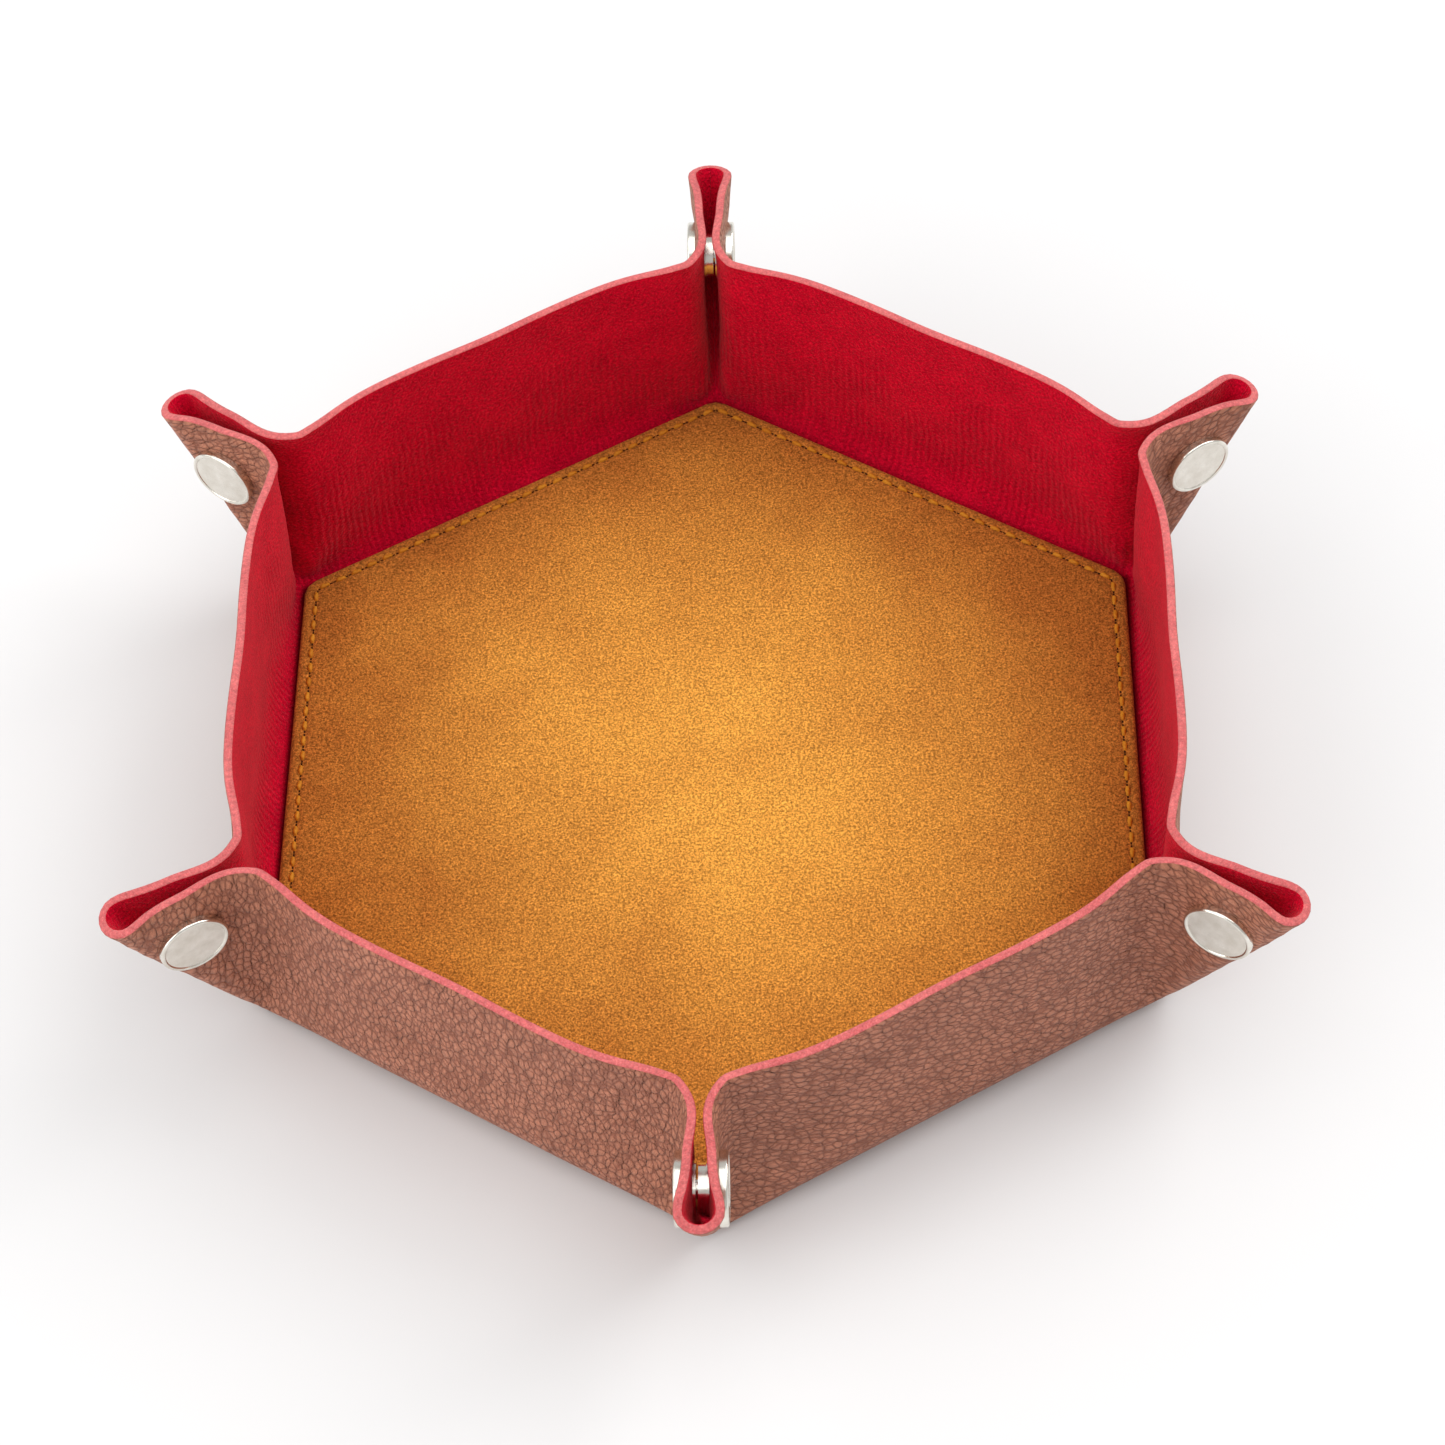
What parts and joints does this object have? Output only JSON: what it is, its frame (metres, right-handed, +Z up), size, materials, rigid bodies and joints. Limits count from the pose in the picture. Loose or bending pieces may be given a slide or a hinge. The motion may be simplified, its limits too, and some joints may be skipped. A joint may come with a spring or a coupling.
{
  "type": "folding dice tray",
  "caption": "Hexagonal folding dice tray: a lined leather sheet with a stitched suede pad, stood up by snapped pinched corners.",
  "frame": {"origin": "middle of the underside of the base, on the surface the tray stands on", "axes": "+Z up, +X square to a wall, +Y towards a corner"},
  "size_m": [0.205, 0.2336, 0.0435],
  "materials": {
    "cover_leather": "pebbled matte",
    "lining_suede": "short nap",
    "sheet_core": "cut edge, fibrous",
    "pad_suede": "short nap",
    "board": "plain board",
    "thread": "twisted thread",
    "nickel": "satin face, polished rolled edge"
  },
  "bodies": {
    "base": {"base_cover": "cover_leather", "base_lining": "lining_suede", "pad_board": "board", "pad_suede": "pad_suede", "pad_stitching": "thread"},
    "wall_1": {"wall_1": "lining_suede"},
    "wall_2": {"wall_2": "lining_suede"},
    "wall_3": {"wall_3": "lining_suede"},
    "wall_4": {"wall_4": "lining_suede"},
    "wall_5": {"wall_5": "lining_suede"},
    "wall_6": {"wall_6": "lining_suede"},
    "ply_1_left": {"ply_1_left": "cover_leather", "snap_cap_1_left": "nickel", "snap_socket_1": "nickel"},
    "nose_1_left": {"nose_1_left": "cover_leather"},
    "ply_1_right": {"ply_1_right": "cover_leather", "snap_cap_1_right": "nickel", "snap_stud_1": "nickel"},
    "nose_1_right": {"nose_1_right": "cover_leather"},
    "ply_2_left": {"ply_2_left": "cover_leather", "snap_cap_2_left": "nickel", "snap_socket_2": "nickel"},
    "nose_2_left": {"nose_2_left": "cover_leather"},
    "ply_2_right": {"ply_2_right": "cover_leather", "snap_cap_2_right": "nickel", "snap_stud_2": "nickel"},
    "nose_2_right": {"nose_2_right": "cover_leather"},
    "ply_3_left": {"ply_3_left": "cover_leather", "snap_cap_3_left": "nickel", "snap_socket_3": "nickel"},
    "nose_3_left": {"nose_3_left": "cover_leather"},
    "ply_3_right": {"ply_3_right": "cover_leather", "snap_cap_3_right": "nickel", "snap_stud_3": "nickel"},
    "nose_3_right": {"nose_3_right": "cover_leather"},
    "ply_4_left": {"ply_4_left": "cover_leather", "snap_cap_4_left": "nickel", "snap_socket_4": "nickel"},
    "nose_4_left": {"nose_4_left": "cover_leather"},
    "ply_4_right": {"ply_4_right": "cover_leather", "snap_cap_4_right": "nickel", "snap_stud_4": "nickel"},
    "nose_4_right": {"nose_4_right": "cover_leather"},
    "ply_5_left": {"ply_5_left": "cover_leather", "snap_cap_5_left": "nickel", "snap_socket_5": "nickel"},
    "nose_5_left": {"nose_5_left": "cover_leather"},
    "ply_5_right": {"ply_5_right": "cover_leather", "snap_cap_5_right": "nickel", "snap_stud_5": "nickel"},
    "nose_5_right": {"nose_5_right": "cover_leather"},
    "ply_6_left": {"ply_6_left": "cover_leather", "snap_cap_6_left": "nickel", "snap_socket_6": "nickel"},
    "nose_6_left": {"nose_6_left": "cover_leather"},
    "ply_6_right": {"ply_6_right": "cover_leather", "snap_cap_6_right": "nickel", "snap_stud_6": "nickel"},
    "nose_6_right": {"nose_6_right": "cover_leather"}
  },
  "joints": [
    {"name": "fold_wall_1", "type": "hinge", "parent": "base", "child": "wall_1", "pos_m": [0.0815, 0, 0], "axis": [0, 1, 0], "range_deg": [0, 90]},
    {"name": "fold_wall_2", "type": "hinge", "parent": "base", "child": "wall_2", "pos_m": [0.04075, 0.07058, 0], "axis": [-0.866, 0.5, 0], "range_deg": [0, 90.1]},
    {"name": "fold_wall_3", "type": "hinge", "parent": "base", "child": "wall_3", "pos_m": [-0.04075, 0.07058, 0], "axis": [-0.866, -0.5, 0], "range_deg": [0, 90.1]},
    {"name": "fold_wall_4", "type": "hinge", "parent": "base", "child": "wall_4", "pos_m": [-0.0815, 0, 0], "axis": [0, -1, 0], "range_deg": [0, 90.1]},
    {"name": "fold_wall_5", "type": "hinge", "parent": "base", "child": "wall_5", "pos_m": [-0.04075, -0.07058, 0], "axis": [0.866, -0.5, 0], "range_deg": [0, 90.1]},
    {"name": "fold_wall_6", "type": "hinge", "parent": "base", "child": "wall_6", "pos_m": [0.04075, -0.07058, 0], "axis": [0.866, 0.5, 0], "range_deg": [0, 90.1]},
    {"name": "fold_ply_1_left", "type": "hinge", "parent": "wall_2", "child": "ply_1_left", "pos_m": [0.07855, 0.04876, 0], "axis": [0, 0, -1], "range_deg": [0, 60.1]},
    {"name": "fold_nose_1_left", "type": "hinge", "parent": "ply_1_left", "child": "nose_1_left", "pos_m": [0.07855, 0.04876, 0], "axis": [0.433, 0.25, 0.866], "range_deg": [0, 90.1]},
    {"name": "fold_ply_1_right", "type": "hinge", "parent": "wall_1", "child": "ply_1_right", "pos_m": [0.0815, 0.04365, 0], "axis": [0, 0, 1], "range_deg": [0, 60.1]},
    {"name": "fold_nose_1_right", "type": "hinge", "parent": "ply_1_right", "child": "nose_1_right", "pos_m": [0.0815, 0.04365, 0], "axis": [-0.433, -0.25, -0.866], "range_deg": [0, 90.1]},
    {"name": "fold_ply_2_left", "type": "hinge", "parent": "wall_3", "child": "ply_2_left", "pos_m": [-0.00295, 0.0924, 0], "axis": [0, 0, -1], "range_deg": [0, 60.1]},
    {"name": "fold_nose_2_left", "type": "hinge", "parent": "ply_2_left", "child": "nose_2_left", "pos_m": [-0.00295, 0.0924, 0], "axis": [0, 0.5, 0.866], "range_deg": [0, 90.1]},
    {"name": "fold_ply_2_right", "type": "hinge", "parent": "wall_2", "child": "ply_2_right", "pos_m": [0.00295, 0.0924, 0], "axis": [0, 0, 1], "range_deg": [0, 60.1]},
    {"name": "fold_nose_2_right", "type": "hinge", "parent": "ply_2_right", "child": "nose_2_right", "pos_m": [0.00295, 0.0924, 0], "axis": [0, -0.5, -0.866], "range_deg": [0, 90.1]},
    {"name": "fold_ply_3_left", "type": "hinge", "parent": "wall_4", "child": "ply_3_left", "pos_m": [-0.0815, 0.04365, 0], "axis": [0, 0, -1], "range_deg": [0, 60.1]},
    {"name": "fold_nose_3_left", "type": "hinge", "parent": "ply_3_left", "child": "nose_3_left", "pos_m": [-0.0815, 0.04365, 0], "axis": [-0.433, 0.25, 0.866], "range_deg": [0, 90.1]},
    {"name": "fold_ply_3_right", "type": "hinge", "parent": "wall_3", "child": "ply_3_right", "pos_m": [-0.07855, 0.04876, 0], "axis": [0, 0, 1], "range_deg": [0, 60.1]},
    {"name": "fold_nose_3_right", "type": "hinge", "parent": "ply_3_right", "child": "nose_3_right", "pos_m": [-0.07855, 0.04876, 0], "axis": [0.433, -0.25, -0.866], "range_deg": [0, 90.1]},
    {"name": "fold_ply_4_left", "type": "hinge", "parent": "wall_5", "child": "ply_4_left", "pos_m": [-0.07855, -0.04876, 0], "axis": [0, 0, -1], "range_deg": [0, 60.1]},
    {"name": "fold_nose_4_left", "type": "hinge", "parent": "ply_4_left", "child": "nose_4_left", "pos_m": [-0.07855, -0.04876, 0], "axis": [-0.433, -0.25, 0.866], "range_deg": [0, 90.1]},
    {"name": "fold_ply_4_right", "type": "hinge", "parent": "wall_4", "child": "ply_4_right", "pos_m": [-0.0815, -0.04365, 0], "axis": [0, 0, 1], "range_deg": [0, 60.1]},
    {"name": "fold_nose_4_right", "type": "hinge", "parent": "ply_4_right", "child": "nose_4_right", "pos_m": [-0.0815, -0.04365, 0], "axis": [0.433, 0.25, -0.866], "range_deg": [0, 90.1]},
    {"name": "fold_ply_5_left", "type": "hinge", "parent": "wall_6", "child": "ply_5_left", "pos_m": [0.00295, -0.0924, 0], "axis": [0, 0, -1], "range_deg": [0, 60.1]},
    {"name": "fold_nose_5_left", "type": "hinge", "parent": "ply_5_left", "child": "nose_5_left", "pos_m": [0.00295, -0.0924, 0], "axis": [0, -0.5, 0.866], "range_deg": [0, 90.1]},
    {"name": "fold_ply_5_right", "type": "hinge", "parent": "wall_5", "child": "ply_5_right", "pos_m": [-0.00295, -0.0924, 0], "axis": [0, 0, 1], "range_deg": [0, 60.1]},
    {"name": "fold_nose_5_right", "type": "hinge", "parent": "ply_5_right", "child": "nose_5_right", "pos_m": [-0.00295, -0.0924, 0], "axis": [0, 0.5, -0.866], "range_deg": [0, 90.1]},
    {"name": "fold_ply_6_left", "type": "hinge", "parent": "wall_1", "child": "ply_6_left", "pos_m": [0.0815, -0.04365, 0], "axis": [0, 0, -1], "range_deg": [0, 60.1]},
    {"name": "fold_nose_6_left", "type": "hinge", "parent": "ply_6_left", "child": "nose_6_left", "pos_m": [0.0815, -0.04365, 0], "axis": [0.433, -0.25, 0.866], "range_deg": [0, 90.1]},
    {"name": "fold_ply_6_right", "type": "hinge", "parent": "wall_6", "child": "ply_6_right", "pos_m": [0.07855, -0.04876, 0], "axis": [0, 0, 1], "range_deg": [0, 60.1]},
    {"name": "fold_nose_6_right", "type": "hinge", "parent": "ply_6_right", "child": "nose_6_right", "pos_m": [0.07855, -0.04876, 0], "axis": [-0.433, 0.25, -0.866], "range_deg": [0, 90.1]}
  ],
  "couplings": [
    {"joint": "fold_wall_2", "follows": "fold_wall_1", "ratio": 1},
    {"joint": "fold_wall_3", "follows": "fold_wall_1", "ratio": 1},
    {"joint": "fold_wall_4", "follows": "fold_wall_1", "ratio": 1},
    {"joint": "fold_wall_5", "follows": "fold_wall_1", "ratio": 1},
    {"joint": "fold_wall_6", "follows": "fold_wall_1", "ratio": 1},
    {"joint": "fold_ply_1_left", "follows": "fold_wall_1", "ratio": 0.66667},
    {"joint": "fold_nose_1_left", "follows": "fold_wall_1", "ratio": 1},
    {"joint": "fold_ply_1_right", "follows": "fold_wall_1", "ratio": 0.66667},
    {"joint": "fold_nose_1_right", "follows": "fold_wall_1", "ratio": 1},
    {"joint": "fold_ply_2_left", "follows": "fold_wall_1", "ratio": 0.66667},
    {"joint": "fold_nose_2_left", "follows": "fold_wall_1", "ratio": 1},
    {"joint": "fold_ply_2_right", "follows": "fold_wall_1", "ratio": 0.66667},
    {"joint": "fold_nose_2_right", "follows": "fold_wall_1", "ratio": 1},
    {"joint": "fold_ply_3_left", "follows": "fold_wall_1", "ratio": 0.66667},
    {"joint": "fold_nose_3_left", "follows": "fold_wall_1", "ratio": 1},
    {"joint": "fold_ply_3_right", "follows": "fold_wall_1", "ratio": 0.66667},
    {"joint": "fold_nose_3_right", "follows": "fold_wall_1", "ratio": 1},
    {"joint": "fold_ply_4_left", "follows": "fold_wall_1", "ratio": 0.66667},
    {"joint": "fold_nose_4_left", "follows": "fold_wall_1", "ratio": 1},
    {"joint": "fold_ply_4_right", "follows": "fold_wall_1", "ratio": 0.66667},
    {"joint": "fold_nose_4_right", "follows": "fold_wall_1", "ratio": 1},
    {"joint": "fold_ply_5_left", "follows": "fold_wall_1", "ratio": 0.66667},
    {"joint": "fold_nose_5_left", "follows": "fold_wall_1", "ratio": 1},
    {"joint": "fold_ply_5_right", "follows": "fold_wall_1", "ratio": 0.66667},
    {"joint": "fold_nose_5_right", "follows": "fold_wall_1", "ratio": 1},
    {"joint": "fold_ply_6_left", "follows": "fold_wall_1", "ratio": 0.66667},
    {"joint": "fold_nose_6_left", "follows": "fold_wall_1", "ratio": 1},
    {"joint": "fold_ply_6_right", "follows": "fold_wall_1", "ratio": 0.66667},
    {"joint": "fold_nose_6_right", "follows": "fold_wall_1", "ratio": 1}
  ]
}
